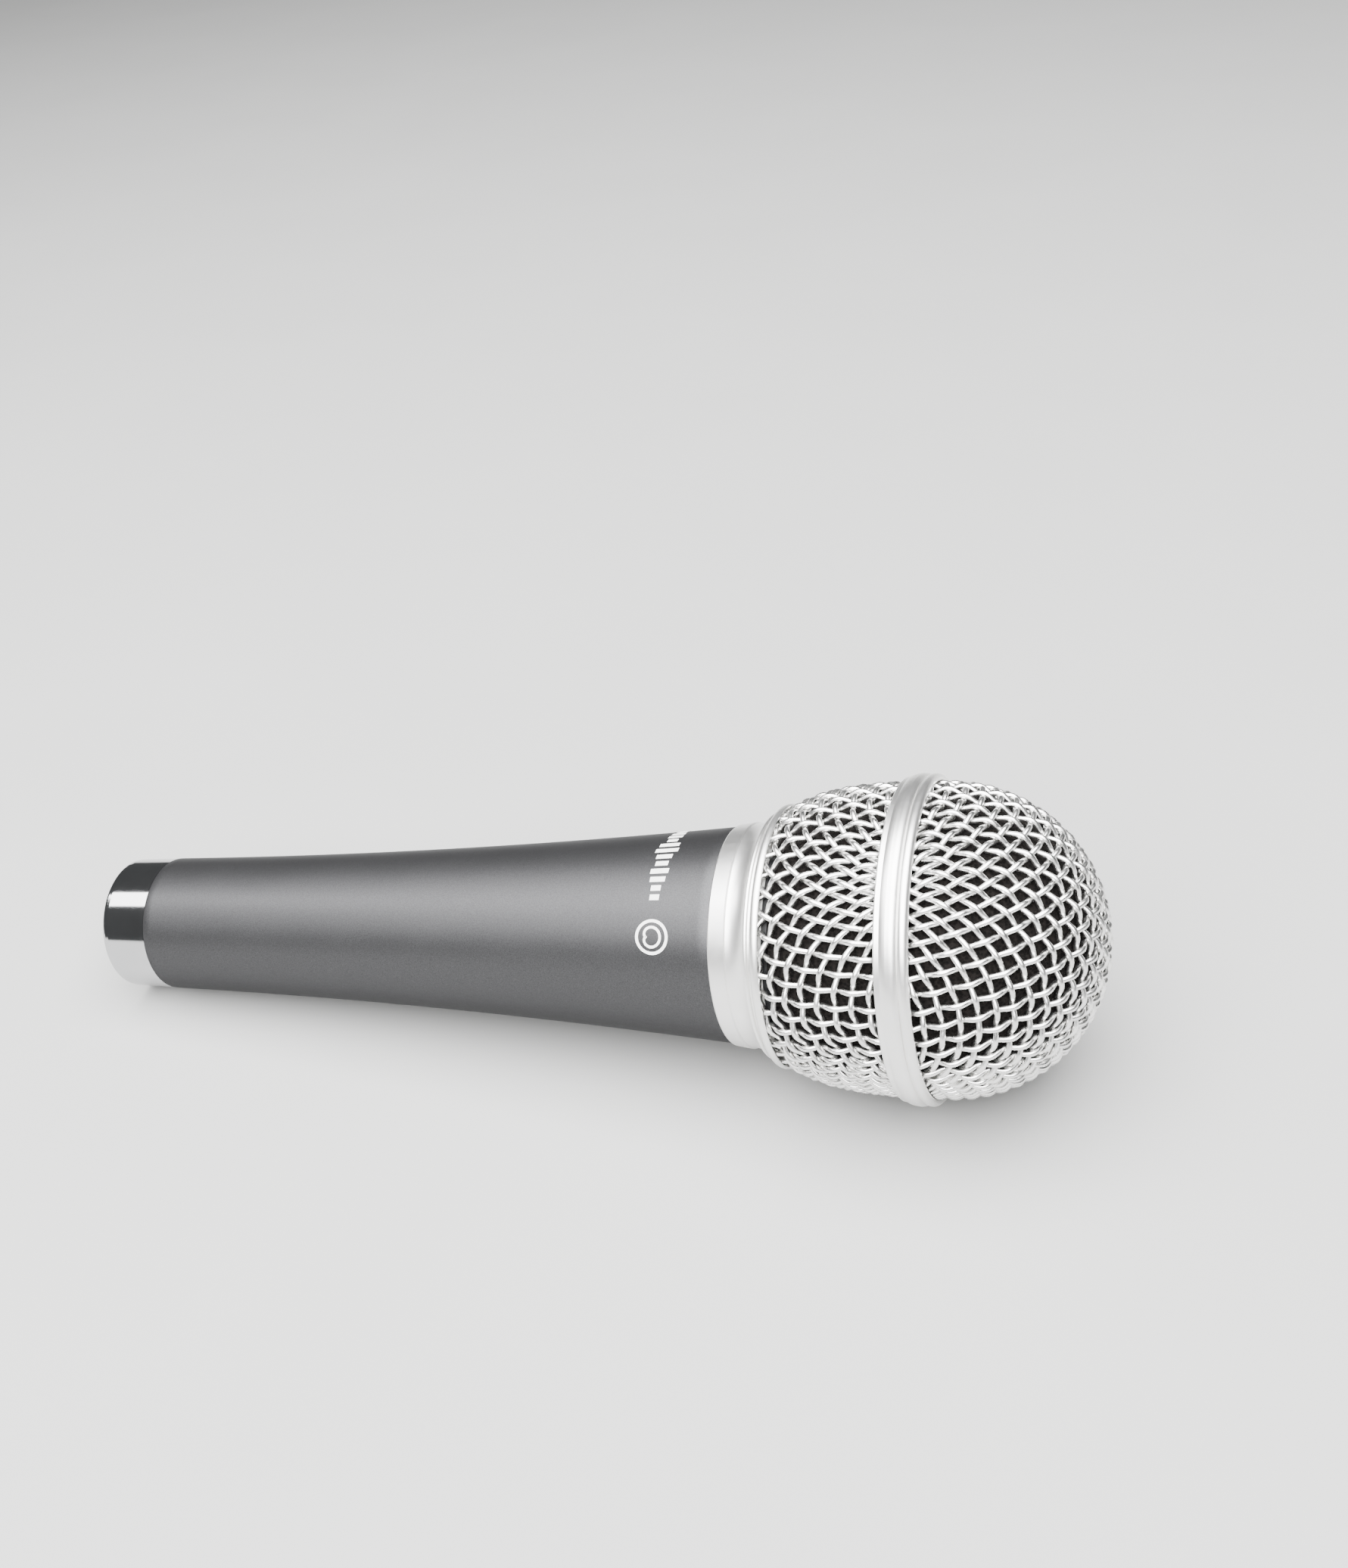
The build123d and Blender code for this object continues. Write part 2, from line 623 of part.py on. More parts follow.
# ---------------------------------------------------------------- laid down
def resting_plane():
    """The plane whose Z is the microphone's axis once it lies on a table, on its two resting cones."""
    axis = Vector(math.cos(LEAN), 0, math.sin(LEAN))
    up = Vector(-math.sin(LEAN), 0, math.cos(LEAN))
    height = SHELL_RADIUS * math.cos(LEAN) - REST_TAIL * math.sin(LEAN)
    # Ends of the microphone along the table.
    rim_centre = SHELL_RADIUS - TAIL_RIM_FILLET
    tail_end = TAIL_RIM_FILLET * axis.X - rim_centre * axis.Z - TAIL_RIM_FILLET
    ball_end = DOME_CENTRE * axis.X + BALL_RADIUS
    return Plane(origin=(-(tail_end + ball_end) / 2, 0, height), x_dir=up, z_dir=axis)


RESTING = resting_plane()


def main():
    make_dome()
    make_bowl()
    make_band()
    make_collar()
    make_windscreen()
    make_oring()
    make_handle()
    make_connector()
    make_capsule_mount()
    make_capsule_housing()
    make_motor()
    make_moving_coil()
    make_leads()
    os.makedirs("parts", exist_ok=True)
    for label, piece in PIECES.items():
        laid = RESTING.location * piece
        laid.label = label
        export_step(laid, f"parts/{label}.step")


if __name__ == "__main__":
    main()
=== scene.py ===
"""Looks for the dynamic microphone: woven wire ball, satin collar and band, painted handle, plated tail.

The pieces made here are drawn about the microphone's own axis, in millimetres from the tail face: z runs from
the tail to the ball, x is up and y is towards the camera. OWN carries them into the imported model's frame.
"""

import itertools
import json
import math

import bmesh
import bpy
import numpy as np
from mathutils import Matrix, Vector


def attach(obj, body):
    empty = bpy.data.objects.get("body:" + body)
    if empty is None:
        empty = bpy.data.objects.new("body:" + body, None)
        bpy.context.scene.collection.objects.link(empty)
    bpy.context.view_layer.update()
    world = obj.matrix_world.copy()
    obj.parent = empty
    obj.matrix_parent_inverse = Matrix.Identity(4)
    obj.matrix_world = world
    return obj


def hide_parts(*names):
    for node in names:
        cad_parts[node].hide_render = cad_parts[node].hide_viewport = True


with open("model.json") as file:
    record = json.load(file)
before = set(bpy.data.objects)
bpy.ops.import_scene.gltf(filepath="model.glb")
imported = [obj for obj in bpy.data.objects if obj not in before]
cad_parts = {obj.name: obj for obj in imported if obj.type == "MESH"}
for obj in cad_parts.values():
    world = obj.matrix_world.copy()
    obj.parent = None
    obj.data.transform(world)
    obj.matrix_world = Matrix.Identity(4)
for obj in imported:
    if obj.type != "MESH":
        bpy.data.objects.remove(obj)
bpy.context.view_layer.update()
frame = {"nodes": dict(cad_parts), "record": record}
RECORD = frame["record"]
NODES = frame["nodes"]

# ---------------------------------------------------------------- the microphone's own axes
MM = 0.001
SOCKET = next(m for m in RECORD["mounts"] if m["name"] == "cable_socket")
TURN = next(j for j in RECORD["behaviour"]["joints"] if j["name"] == "grille_turn")
AXIS = Vector(TURN["axis"]).normalized()
UP = Vector((-AXIS.z, 0, AXIS.x))
OWN = Matrix((
    (*(UP * MM), 0), (*(AXIS.cross(UP) * MM), 0), (*(AXIS * MM), 0), (*SOCKET["pos_m"], 1),
)).transposed()

# ---------------------------------------------------------------- sizes, in millimetres from the tail face
BALL = 24.9  # radius outside the wire cloth
DOME_CENTRE = 150.1
BAND = 146.4
NECK = 20.8  # radius of the bowl at the collar
COLLAR_TOP = 125.0
BOWL_SIDE = np.array([(NECK, COLLAR_TOP), (BALL - 1.6, 129.0), (BALL, 134.0), (BALL, BAND)])
BOWL_POINTS = 200
BOWL_FOOT = 6.0  # how far the bowl's cloth runs on down inside the collar

WIRE = 0.92
PITCH = 2.68
CLOTH = BALL - WIRE  # radius to the middle of the dome's cloth
WEAVE_TURN = math.radians(-12)  # where round the ball the wires run straight along it
DOME_SLIP = math.radians(10)  # how far from the tip the middle of the dome's cloth lies
DOME_REACH, BOWL_REACH = 19, 17  # wires to each side of the middle one
WEAVE_END = BAND - 4  # the dome's weave is worked out down to here
DOME_EDGE, BOWL_EDGE = BAND + 0.8, BAND - 0.8  # where the wires end inside the band
BOWL_LIP = COLLAR_TOP - 0.9  # where they end inside the collar's lip
STEPS = 6  # points along a wire from one crossing to the next
SIDES = 8  # of a wire
SHORTEST = 4  # points in the shortest piece of wire that is drawn
SLOPE_REACH = 0.2  # half the length that the bowl's slope is taken over

FOAM_INSET = 1.96  # from the outside of the wire cloth to the foam
FOAM_THICKNESS = 3.0
FOAM_DENT = 0.12
FOAM_COLUMNS = 160
FOAM_DOME_ROWS, FOAM_BOWL_ROWS = 46, 34
FOAM_END = COLLAR_TOP + 1.05

HANDLE_END = 9.0
SHOULDER = 116.0  # where the handle's paint ends and its thread begins
HANDLE_SIDE = ((11.75, HANDLE_END), (13.7, 62.5), (17.6, SHOULDER))  # radius and height
EDGE = 0.15  # rounding at both ends of the paint
COLUMNS = 192  # steps round the handle
SIDE_ROWS = 55
SPIGOT = 15.9  # radius outside the thread
SPIGOT_TOP = 122.5
SPIGOT_EDGE = 0.5
THREAD = (117.3, 121.9)
THREAD_ROWS = 75
THREAD_DEPTH = 0.45
THREAD_FADE = 0.6
MOUTH, MOUTH_END = 14.2, 104.0
BORE, BORE_END = 12.8, 92.0
SLEEVE, SLEEVE_END = 9.65, 22.05  # bore over the tail ring's sleeve
SCREW_HEIGHT = 15.0
SCREW_HOLE = 1.3
SCREW_EDGE = 0.12
SCREW_COLUMN = COLUMNS * 3 // 4
WINDOW = 1.8  # half the height of the handle's window that the screw's hole is fitted in
WINDOW_ROWS = 9
WINDOW_COLUMNS = 6  # half its width

RUBBER_RADIUS = 16.55  # to the middle of the collar's rubber ring
RUBBER_SECTION = 0.58  # radius
RUBBER_HEIGHT = SHOULDER + RUBBER_SECTION
RUBBER_COLUMNS, RUBBER_SIDES = 160, 16

MARK_HEIGHT = 106.5
INK_PROUD, INK_SUNK = 0.035, 0.05
BARS = 27
BARS_FROM, BARS_STEP = -108, 5.4  # degrees
BAR_LENGTH, BAR_WIDTH = 4.0, 0.95
BADGE_TURN = math.radians(54)
BADGE_POINTS = 64
RING_RADIUS, RING_WIDTH = 2.55, 0.48
HEART_SIZE, HEART_SHIFT, HEART_WIDTH = 1.2, 0.95, 0.42

# ---------------------------------------------------------------- floor, light and camera, in metres
FLOOR_REACH = 3
LIGHTS = (  # name, place, target, size, watts
    ("overhead", (0.02, -0.25, 0.74), (0.01, 0, 0.02), (1.10, 1.40), 84.0),
    ("tail", (-0.78, -0.14, 0.74), (-0.08, 0, 0.01), (0.36, 0.30), 4.0),
)
WORLD_STRENGTH = 0.12
CAMERA_PLACE = Vector((0.10236, -0.22615, 0.20987))
CAMERA_WAY = Vector((-0.28532, 0.78524, -0.54953))
CAMERA_ROLL = 6.76  # degrees
PICTURE_HEIGHT, LENS = 36, 42.57  # millimetres


# ---------------------------------------------------------------- making meshes
def add_mesh(name, points, faces, smooth=True):
    """A mesh object from points in the microphone's own millimetres."""
    mesh = bpy.data.meshes.new(name)
    mesh.from_pydata([OWN @ Vector(p) for p in points], [], faces)
    if smooth:
        mesh.polygons.foreach_set("use_smooth", [True] * len(mesh.polygons))
    mesh.update()
    bm = bmesh.new()
    bm.from_mesh(mesh)
    bmesh.ops.recalc_face_normals(bm, faces=bm.faces)
    bm.to_mesh(mesh)
    bm.free()
    obj = bpy.data.objects.new(name, mesh)
    bpy.context.collection.objects.link(obj)
    return obj


def tube(centres, normals, radius, points, faces):
    """Adds one closed round tube along the centres to the lists."""
    centres = np.asarray(centres)
    tangents = np.gradient(centres, axis=0)
    tangents /= np.linalg.norm(tangents, axis=1)[:, None]
    across = np.cross(tangents, normals)
    across /= np.linalg.norm(across, axis=1)[:, None]
    up = np.cross(across, tangents)
    first = len(points)
    angles = np.arange(SIDES) * 2 * math.pi / SIDES
    for centre, a, u in zip(centres, across, up):
        for angle in angles:
            points.append(tuple(centre + radius * (math.cos(angle) * a + math.sin(angle) * u)))
    last = first + (len(centres) - 1) * SIDES
    for ring in range(first, last, SIDES):
        for k in range(SIDES):
            a, b = ring + k, ring + (k + 1) % SIDES
            faces.append((a, b, b + SIDES, a + SIDES))
    faces.append(tuple(first + k for k in range(SIDES)))
    faces.append(tuple(last + k for k in reversed(range(SIDES))))


def join_rings(one, two, faces):
    """Adds the faces between two rings of points, either of which may be a single point."""
    count = max(len(one), len(two))
    for k in range(count):
        n = (k + 1) % count
        if len(one) == 1:
            faces.append((one[0], two[k], two[n]))
        elif len(two) == 1:
            faces.append((one[k], one[n], two[0]))
        else:
            faces.append((one[k], one[n], two[n], two[k]))


# ---------------------------------------------------------------- the weave
def drop(point):
    """Height error and outward direction of a point against the dome's cloth."""
    away = np.array([point[0], point[1], max(point[2] - DOME_CENTRE, 0.0)])
    length = np.linalg.norm(away)
    return length - CLOTH, away / length


def meet(point, rows):
    """Moves the point until every row's error is nothing. A row gives an error and its direction."""
    for _ in range(30):
        errors, ways = zip(*(row(point) for row in rows))
        move = np.linalg.solve(np.array(ways), -np.array(errors))
        point = point + move
        if np.linalg.norm(move) < 1e-9:
            break
    return point


def apart_from(other):
    """Row for meet: one pitch away from the other crossing."""

    def row(point):
        gap = point - other
        length = np.linalg.norm(gap)
        return length - PITCH, gap / length

    return row


def weave(reach, slip):
    """Crossings of a square cloth laid over the dome without stretching either set of wires.

    Two wires that cross at the cloth's middle go straight down the dome. Every other crossing is one pitch
    from each of the two crossings before it.
    """
    middle = np.array([math.sin(slip), 0.0, math.cos(slip)])
    centre = np.array([0.0, 0.0, DOME_CENTRE])
    start = centre + middle * CLOTH
    along = {
        (1, 0): np.array([math.cos(slip), 0.0, -math.sin(slip)]),
        (0, 1): np.array([0.0, 1.0, 0.0]),
    }
    whole = {(0, 0): start}
    for ((i, j), way), sign in itertools.product(along.items(), (1, -1)):
        side = np.cross(middle, way)
        before, here = None, start
        for k in range(1, reach + 1):
            guess = here + (sign * way * PITCH if before is None else here - before)
            rows = [apart_from(here), lambda p, side=side: ((p - centre) @ side, side), drop]
            before, here = here, meet(guess, rows)
            whole[sign * k * i, sign * k * j] = here
    steps = range(1, reach + 1)
    for si, sj, i, j in itertools.product((1, -1), (1, -1), steps, steps):
        back = whole.get((si * (i - 1), sj * (j - 1)))
        a, b = whole.get((si * (i - 1), sj * j)), whole.get((si * i, sj * (j - 1)))
        if a is None or b is None or min(a[2], b[2]) < WEAVE_END:
            continue
        whole[si * i, sj * j] = meet(a + b - back, [apart_from(a), apart_from(b), drop])
    return whole


def on_dome(point):
    """A place on the dome's cloth and its outward direction."""
    return point, drop(point)[1]


def bowl_side(inset, shares):
    """Points on the bowl's side, a Bezier curve from the collar to the band, this far inside it."""
    a, b, c, d = BOWL_SIDE - (inset, 0)
    t = np.asarray(shares)[:, None]
    return (1 - t) ** 3 * a + 3 * t * (1 - t) ** 2 * b + 3 * t**2 * (1 - t) * c + t**3 * d


def bowl_profile():
    """Distance along the bowl's cloth from the band, with radius and height, down into the collar."""
    side = bowl_side(WIRE, np.linspace(0, 1, BOWL_POINTS))[::-1]
    curve = np.vstack([side, [(NECK - WIRE, COLLAR_TOP - BOWL_FOOT)]])
    steps = np.linalg.norm(np.diff(curve, axis=0), axis=1)
    return np.concatenate([[0], np.cumsum(steps)]), curve[:, 0], curve[:, 1]


BOWL_RUN, BOWL_RADIUS, BOWL_HEIGHT = bowl_profile()


def on_bowl(point):
    """The same place of the same weave laid over the bowl, as far from the band but the other way."""
    lift = point[2] - DOME_CENTRE
    ring = math.hypot(point[0], point[1])
    if lift > 0:
        run = DOME_CENTRE - BAND + CLOTH * math.atan2(lift, ring)
    else:
        run = point[2] - BAND
    if run < 0:
        radius, height, slope = CLOTH, BAND - run, 0.0
    else:
        radius, above, below = np.interp((run, run - SLOPE_REACH, run + SLOPE_REACH), BOWL_RUN, BOWL_RADIUS)
        height = np.interp(run, BOWL_RUN, BOWL_HEIGHT)
        steep = min((above - below) / (2 * SLOPE_REACH), 0.99)
        slope = math.asin(steep) if SLOPE_REACH < run < BOWL_RUN[-2] else 0.0
    if ring < 1e-6:
        ring, point = 1e-6, (1e-6, 0)
    x, y = point[0] / ring, point[1] / ring
    place = np.array([x * radius, y * radius, height])
    away = np.array([x * math.cos(slope), y * math.cos(slope), -math.sin(slope)])
    return place, away


# ---------------------------------------------------------------- the wires
WEAVE = np.array([
    [math.cos(WEAVE_TURN), -math.sin(WEAVE_TURN), 0],
    [math.sin(WEAVE_TURN), math.cos(WEAVE_TURN), 0],
    [0, 0, 1],
])


def smooth_between(before, start, end, after, share):
    """Catmull-Rom point between start and end."""
    return 0.5 * (
        2 * start
        + (end - before) * share
        + (2 * before - 5 * start + 4 * end - after) * share**2
        + (3 * start - before - 3 * end + after) * share**3
    )


def unbroken(items, wanted):
    """The runs of items that are wanted throughout."""
    return [list(run) for kept, run in itertools.groupby(items, wanted) if kept]


def bent_wire(keys, crossings, lay, family):
    """Places along one wire with their outward directions, over and under the other wires in turn."""
    flat = [crossings[key] for key in keys]
    flat = [2 * flat[0] - flat[1], *flat, 2 * flat[-1] - flat[-2]]
    spots = []
    for k, key in enumerate(keys[:-1]):
        for share in (step / STEPS for step in range(STEPS)):
            spots.append((key, share, smooth_between(*flat[k : k + 4], share)))
    spots.append((keys[-1], 0.0, flat[-2]))
    line = []
    for key, share, spot in spots:
        place, away = lay(spot)
        side = 1 if (sum(key) + family) % 2 == 0 else -1
        wave = side * math.cos(math.pi * share) * WIRE / 2
        line.append((WEAVE @ (place + away * wave), WEAVE @ away))
    return line


def wire_cloth(name, crossings, lay, low, high):
    """Both families of the cloth's wires as round tubes, kept between two heights."""
    reach = max(i for i, _ in crossings)
    numbers = range(-reach, reach + 1)
    points, faces = [], []
    for family, index in itertools.product((0, 1), numbers):
        keys = [(index, k) if family == 0 else (k, index) for k in numbers]
        for run in unbroken(keys, lambda key: key in crossings):
            if len(run) < 2:
                continue
            line = bent_wire(run, crossings, lay, family)
            for piece in unbroken(line, lambda spot: bool(low <= spot[0][2] <= high)):
                if len(piece) >= SHORTEST:
                    tube(*zip(*piece), WIRE / 2, points, faces)
    return add_mesh(name, points, faces)


# ---------------------------------------------------------------- materials
class Paint:
    """A node material on the Principled shader, with the nodes that most of the finishes share."""

    def __init__(self, name, colour, roughness, metallic=0.0, **uniform):
        self.material = bpy.data.materials.new(name)
        self.material.use_nodes = True
        self.nodes = self.material.node_tree.nodes
        self.links = self.material.node_tree.links
        self.shader = next(n for n in self.nodes if n.type == "BSDF_PRINCIPLED")
        self.shader.inputs["Base Color"].default_value = (*colour, 1)
        self.shader.inputs["Roughness"].default_value = roughness
        self.shader.inputs["Metallic"].default_value = metallic
        self.colour = colour
        for socket, value in uniform.items():
            self.shader.inputs[socket.replace("_", " ")].default_value = value
        self.place = self.add("ShaderNodeTexCoord").outputs["Object"]

    def add(self, kind, **settings):
        node = self.nodes.new(kind)
        for key, value in settings.items():
            setattr(node, key, value)
        return node

    def noise(self, size_mm, detail=3.0, stretch=(1, 1, 1)):
        """Noise with features of about this size."""
        mapping = self.add("ShaderNodeMapping")
        mapping.inputs["Scale"].default_value = stretch
        self.links.new(self.place, mapping.inputs["Vector"])
        node = self.add("ShaderNodeTexNoise")
        node.inputs["Scale"].default_value = 1 / (size_mm * MM)
        node.inputs["Detail"].default_value = detail
        self.links.new(mapping.outputs["Vector"], node.inputs["Vector"])
        return node.outputs["Fac"]

    def cells(self, size_mm):
        node = self.add("ShaderNodeTexVoronoi")
        node.inputs["Scale"].default_value = 1 / (size_mm * MM)
        self.links.new(self.place, node.inputs["Vector"])
        return node.outputs["Distance"]

    def ranged(self, value, low, high, start=0.3, end=0.7):
        """The value, mapped from start..end to low..high."""
        node = self.add("ShaderNodeMapRange")
        for socket, number in zip(("From Min", "From Max", "To Min", "To Max"), (start, end, low, high)):
            node.inputs[socket].default_value = number
        self.links.new(value, node.inputs["Value"])
        return node.outputs["Result"]

    def vary_roughness(self, value, low, high):
        self.links.new(self.ranged(value, low, high), self.shader.inputs["Roughness"])

    def vary_colour(self, value, dark, light):
        """Colour between two multiples of the base colour."""
        ramp = self.add("ShaderNodeValToRGB")
        for stop, position, share in zip(ramp.color_ramp.elements, (0.3, 0.7), (dark, light)):
            stop.position = position
            stop.color = (*(min(c * share, 1) for c in self.colour), 1)
        self.links.new(value, ramp.inputs["Fac"])
        self.links.new(ramp.outputs["Color"], self.shader.inputs["Base Color"])

    def bump(self, value, height_mm, strength=1.0):
        node = self.add("ShaderNodeBump")
        node.inputs["Strength"].default_value = strength
        node.inputs["Distance"].default_value = height_mm * MM
        self.links.new(value, node.inputs["Height"])
        self.links.new(node.outputs["Normal"], self.shader.inputs["Normal"])


def brushed(name, colour, roughness, spread=0.06):
    """Satin plated metal: fine grain and a slight cloudiness."""
    paint = Paint(name, colour, roughness, metallic=1.0)
    paint.vary_colour(paint.noise(9.0), 0.94, 1.04)
    paint.vary_roughness(paint.noise(1.2, detail=4.0), roughness - spread, roughness + spread)
    paint.bump(paint.noise(0.10, detail=2.0), 0.0015, 0.25)
    return paint.material


def plated(name, colour, roughness):
    """Bright plated metal, with faint waves."""
    paint = Paint(name, colour, roughness, metallic=1.0)
    paint.vary_colour(paint.noise(6.0), 0.96, 1.02)
    paint.vary_roughness(paint.noise(2.0, detail=5.0), roughness - 0.01, roughness + 0.012)
    paint.bump(paint.noise(3.0), 0.004, 0.06)
    return paint.material


def moulded(name, colour, roughness=0.45, grain_mm=0.35, depth_mm=0.012, gloss=0.5):
    """Plastic, rubber or ink with a fine grain."""
    paint = Paint(name, colour, roughness, Specular_IOR_Level=gloss)
    paint.vary_colour(paint.noise(4.0), 0.90, 1.08)
    paint.vary_roughness(paint.noise(1.5), roughness - 0.02, roughness + 0.03)
    paint.bump(paint.noise(grain_mm), depth_mm, 0.6)
    return paint.material


def handle_finish():
    """Satin metallic paint with a fine sparkle, and bare turned metal above the shoulder."""
    paint = Paint("handle_paint", (0.056, 0.056, 0.058), 0.42, metallic=0.85)
    paint.shader.inputs["Specular Tint"].default_value = (0.45, 0.45, 0.45, 1)
    along = paint.add("ShaderNodeVectorMath", operation="DOT_PRODUCT")
    along.inputs[1].default_value = tuple(AXIS)
    paint.links.new(paint.place, along.inputs[0])
    shoulder = OWN.translation.dot(AXIS) + SHOULDER * MM
    bare = paint.ranged(along.outputs["Value"], 0.0, 1.0, shoulder + 0.1 * MM, shoulder + 0.2 * MM)
    paint.vary_colour(paint.noise(0.16, detail=4.0), 0.80, 1.22)
    mix = paint.add("ShaderNodeMix", data_type="RGBA")
    paint.links.new(paint.shader.inputs["Base Color"].links[0].from_socket, mix.inputs["A"])
    mix.inputs["B"].default_value = (0.46, 0.45, 0.43, 1)
    paint.links.new(bare, mix.inputs["Factor"])
    paint.links.new(mix.outputs["Result"], paint.shader.inputs["Base Color"])
    paint.vary_roughness(paint.noise(12.0), 0.40, 0.43)
    paint.bump(paint.noise(0.22), 0.012, 0.6)
    return paint.material


def foam_finish():
    paint = Paint("foam_finish", (0.0055, 0.0046, 0.0042), 0.95, Specular_IOR_Level=0.12)
    pore_depth_and_shade = paint.cells(0.55)
    # painted shade: darker at the bottom of each pore's pit and lighter on its rim, from the same cells that
    # give the pores' bump
    paint.vary_colour(pore_depth_and_shade, 0.45, 1.5)
    paint.bump(pore_depth_and_shade, 0.25, 0.9)
    return paint.material


def cloth_finish():
    paint = Paint("cloth_finish", (0.018, 0.018, 0.019), 0.85, Specular_IOR_Level=0.25)
    paint.vary_colour(paint.noise(0.25, stretch=(1, 6, 1)), 0.6, 1.5)
    paint.bump(paint.noise(0.2, stretch=(6, 1, 1)), 0.05, 0.8)
    return paint.material


def floor_finish():
    paint = Paint("floor_finish", (0.33, 0.33, 0.327), 0.80)
    paint.vary_colour(paint.noise(60.0), 0.985, 1.015)
    return paint.material


NICKEL = brushed("satin_nickel_plating", (0.90, 0.895, 0.88), 0.36, 0.012)
FINISHES = {
    "grille_band": NICKEL,
    "grille_collar": NICKEL,
    "connector_shell": plated("tail_chrome", (0.50, 0.505, 0.51), 0.09),
    "connector_insert": moulded("black_moulding", (0.008, 0.008, 0.0085), 0.40, gloss=0.18),
    "contact_pin_1": plated("contact_silver", (0.83, 0.80, 0.72), 0.18),
    "insert_retaining_clip": brushed("spring_steel_finish", (0.50, 0.50, 0.51), 0.35),
    "earth_lug": brushed("tinned_finish", (0.68, 0.68, 0.66), 0.40),
    "insert_grub_screw": moulded("blackened_finish", (0.010, 0.010, 0.011), 0.35, 0.2, 0.006, gloss=0.3),
    "shock_mount": moulded("rubber_finish", (0.007, 0.007, 0.007), 0.66, 0.5, 0.02, gloss=0.15),
    "terminal_board": moulded("board_finish", (0.20, 0.10, 0.035), 0.35),
    "yoke": plated("zinc_finish", (0.62, 0.62, 0.60), 0.30),
    "magnet": plated("magnet_finish", (0.66, 0.66, 0.67), 0.14),
    "voice_coil": brushed("copper_finish", (0.72, 0.32, 0.14), 0.30),
    "diaphragm": moulded("film_finish", (0.72, 0.68, 0.58), 0.22, 1.2, 0.01),
    "front_cloth": cloth_finish(),
    "lead_hot": moulded("red_insulation", (0.42, 0.015, 0.012), 0.38),
    "lead_cold": moulded("blue_insulation", (0.015, 0.05, 0.30), 0.38),
}
SAME_FINISH = {
    "contact_pin_2": "contact_pin_1",
    "contact_pin_3": "contact_pin_1",
    "foam_retaining_ring": "connector_insert",
    "rear_chamber": "connector_insert",
    "capsule_housing": "connector_insert",
    "resonator_cap": "connector_insert",
    "capsule_terminals": "earth_lug",
    "motor_screws": "insert_retaining_clip",
    "pole_piece": "yoke",
    "port_cloth": "front_cloth",
}


def dress(obj, material):
    if not obj.data.materials:
        obj.data.materials.append(material)
    for item in obj.material_slots:
        item.material = material


for node, material in FINISHES.items():
    dress(NODES[node], material)
for node, like in SAME_FINISH.items():
    dress(NODES[node], FINISHES[like])

# ---------------------------------------------------------------- ball
WIRE_FINISH = brushed("wire_plating", (0.86, 0.855, 0.84), 0.28)
dome = wire_cloth("dome_wire_cloth", weave(DOME_REACH, DOME_SLIP), on_dome, DOME_EDGE, math.inf)
bowl = wire_cloth("bowl_wire_cloth", weave(BOWL_REACH, 0.0), on_bowl, BOWL_LIP, BOWL_EDGE)
for cloth, node in ((dome, "grille_dome"), (bowl, "grille_bowl")):
    dress(cloth, WIRE_FINISH)
    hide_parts(node)
    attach(cloth, "ball")


def foam_profile():
    """Radius and height of the foam's outside from the tip down, and of its inside from the tip down."""
    outside = BALL - FOAM_INSET
    turns = np.linspace(math.pi / 2, 0, FOAM_DOME_ROWS)
    outer = [(outside * math.cos(a), DOME_CENTRE + outside * math.sin(a)) for a in turns]
    side = bowl_side(FOAM_INSET, np.linspace(1, 0, FOAM_BOWL_ROWS))
    outer += [tuple(p) for p in side if p[1] > FOAM_END]
    shrink = (outside - FOAM_THICKNESS) / outside
    inner = [
        (r - FOAM_THICKNESS, z) if z < DOME_CENTRE else (r * shrink, DOME_CENTRE + (z - DOME_CENTRE) * shrink)
        for r, z in outer
    ]
    return outer, inner


def make_foam():
    """Foam liner: a closed shell of revolution with an uneven skin."""
    outer, inner = foam_profile()
    rng = np.random.default_rng(7)
    points, faces, rows = [], [], []
    for index, (r, z) in enumerate(outer + inner[::-1]):
        first = len(points)
        if r < 1e-6:
            points.append((0, 0, z))
        else:
            for k in range(FOAM_COLUMNS):
                a = 2 * math.pi * k / FOAM_COLUMNS
                dent = rng.uniform(0, FOAM_DENT) if index < len(outer) else 0.0
                points.append(((r - dent) * math.cos(a), (r - dent) * math.sin(a), z))
        rows.append(range(first, len(points)))
    for one, two in zip(rows, rows[1:]):
        join_rings(one, two, faces)
    return add_mesh("foam_liner", points, faces)


foam = make_foam()
dress(foam, foam_finish())
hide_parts("foam_windscreen")
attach(foam, "ball")


def make_rubber_ring():
    """The ring in the collar's foot. It comes off with the ball, so it doesn't ride as its solid does."""
    points, faces = [], []
    for column in range(RUBBER_COLUMNS):
        turn = 2 * math.pi * column / RUBBER_COLUMNS
        one, two = column * RUBBER_SIDES, (column + 1) % RUBBER_COLUMNS * RUBBER_SIDES
        for k in range(RUBBER_SIDES):
            way = 2 * math.pi * k / RUBBER_SIDES
            r, rise = RUBBER_RADIUS + RUBBER_SECTION * math.cos(way), RUBBER_SECTION * math.sin(way)
            points.append((r * math.cos(turn), r * math.sin(turn), RUBBER_HEIGHT + rise))
            n = (k + 1) % RUBBER_SIDES
            faces.append((one + k, one + n, two + n, two + k))
    return add_mesh("rubber_ring", points, faces)


rubber_ring = make_rubber_ring()
dress(rubber_ring, FINISHES["shock_mount"])
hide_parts("collar_oring")
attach(rubber_ring, "ball_advance")


# ---------------------------------------------------------------- handle
def handle_radius(height):
    """Radius of the waisted handle, whose side is the arc through three places."""
    rows = np.array([[2 * r, 2 * z, 1] for r, z in HANDLE_SIDE])
    squares = np.array([r**2 + z**2 for r, z in HANDLE_SIDE])
    centre_r, centre_z, rest = np.linalg.solve(rows, squares)
    radius = math.sqrt(rest + centre_r**2 + centre_z**2)
    inward = math.copysign(1, centre_r - HANDLE_SIDE[1][0])
    return centre_r - inward * math.sqrt(radius**2 - (height - centre_z) ** 2)


